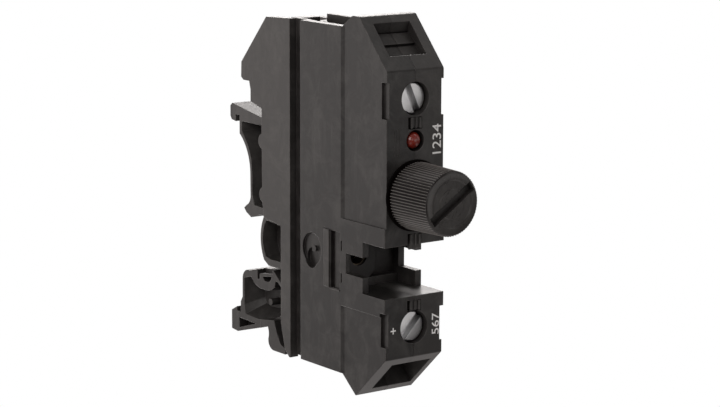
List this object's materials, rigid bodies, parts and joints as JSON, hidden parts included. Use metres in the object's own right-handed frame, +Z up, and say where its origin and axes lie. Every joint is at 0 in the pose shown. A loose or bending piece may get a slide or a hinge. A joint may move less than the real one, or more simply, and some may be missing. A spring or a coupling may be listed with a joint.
{
  "type": "rail-mounted fuse terminal block",
  "caption": "Narrow black terminal block that snaps on a mounting rail and holds a glass cartridge fuse under a knurled screw cap, with screw clamps, a bridge channel and an indicator lamp.",
  "frame": {"origin": "middle of the mounting rail's front face, in the block's middle plane", "axes": "+Y from the front face towards the rail, +Z up along the block's height, X along the rail"},
  "size_m": [0.012, 0.0578, 0.0626],
  "materials": {
    "housing_plastic": "matt, scuffed black",
    "foot_plastic": "matt, scuffed black",
    "cap_plastic": "satin black",
    "insulator_plastic": "matt black",
    "carrier_plastic": "matt",
    "zinc_steel": "zinc plated",
    "tinned_copper": "tinned",
    "nickel_brass": "nickel plated",
    "spring_steel": "bright wire",
    "fuse_glass": "clear",
    "fuse_nickel": "nickel plated",
    "lamp_red": "translucent red",
    "resistor_body": "lacquered"
  },
  "bodies": {
    "housing": {"left_shell": "housing_plastic", "right_shell": "housing_plastic", "upper_busbar": "tinned_copper", "lower_busbar": "tinned_copper", "bridge_block": "insulator_plastic", "bridge_nut": "nickel_brass", "holder_ring": "nickel_brass", "lamp_lens": "lamp_red", "lamp_leads": "spring_steel", "lamp_resistor": "resistor_body", "resistor_lead": "spring_steel", "rear_spring": "spring_steel"},
    "foot": {"snap_foot": "foot_plastic"},
    "upper_screw": {"upper_clamp_screw": "zinc_steel"},
    "upper_sleeve": {"upper_clamp_sleeve": "zinc_steel"},
    "lower_screw": {"lower_clamp_screw": "zinc_steel"},
    "lower_sleeve": {"lower_clamp_sleeve": "zinc_steel"},
    "rear_plunger": {"rear_contact": "nickel_brass"},
    "fuse": {"fuse_glass": "fuse_glass", "fuse_end_front": "fuse_nickel", "fuse_end_rear": "fuse_nickel", "fuse_wire": "spring_steel"},
    "cap": {"fuse_cap": "cap_plastic", "cap_contact": "nickel_brass", "cap_spring": "spring_steel", "fuse_carrier": "carrier_plastic"}
  },
  "joints": [
    {"name": "snap_foot_flex", "type": "hinge", "parent": "housing", "child": "foot", "pos_m": [0, -0.0175, -0.0202], "axis": [1, 0, 0], "range_deg": [-4, 0], "stiffness_Nm_per_rad": 3},
    {"name": "upper_screw_turn", "type": "hinge", "parent": "housing", "child": "upper_screw", "pos_m": [0, -0.0441, 0.0253], "axis": [0, 1, 0], "range_deg": [0, 1028.7]},
    {"name": "upper_sleeve_draw", "type": "slide", "parent": "housing", "child": "upper_sleeve", "axis": [0, -1, 0], "range_m": [0, 0.002]},
    {"name": "lower_screw_turn", "type": "hinge", "parent": "housing", "child": "lower_screw", "pos_m": [0, -0.0441, -0.01215], "axis": [0, 1, 0], "range_deg": [0, 1028.7]},
    {"name": "lower_sleeve_draw", "type": "slide", "parent": "housing", "child": "lower_sleeve", "axis": [0, -1, 0], "range_m": [0, 0.002]},
    {"name": "contact_follow", "type": "slide", "parent": "housing", "child": "rear_plunger", "axis": [0, -1, 0], "range_m": [0, 0.0015], "deforming": ["rear_spring"]},
    {"name": "fuse_withdraw", "type": "slide", "parent": "rear_plunger", "child": "fuse", "axis": [0, -1, 0], "range_m": [0, 0.024]},
    {"name": "cap_turn", "type": "hinge", "parent": "fuse", "child": "cap", "pos_m": [0, -0.0451, 0.0096], "axis": [0, -1, 0], "range_deg": [0, 540]}
  ],
  "couplings": [
    {"joint": "upper_screw_turn", "follows": "upper_sleeve_draw", "rad_per_m": 8976},
    {"joint": "lower_screw_turn", "follows": "lower_sleeve_draw", "rad_per_m": 8976},
    {"joint": "cap_turn", "follows": "contact_follow", "rad_per_m": 6283.2}
  ]
}
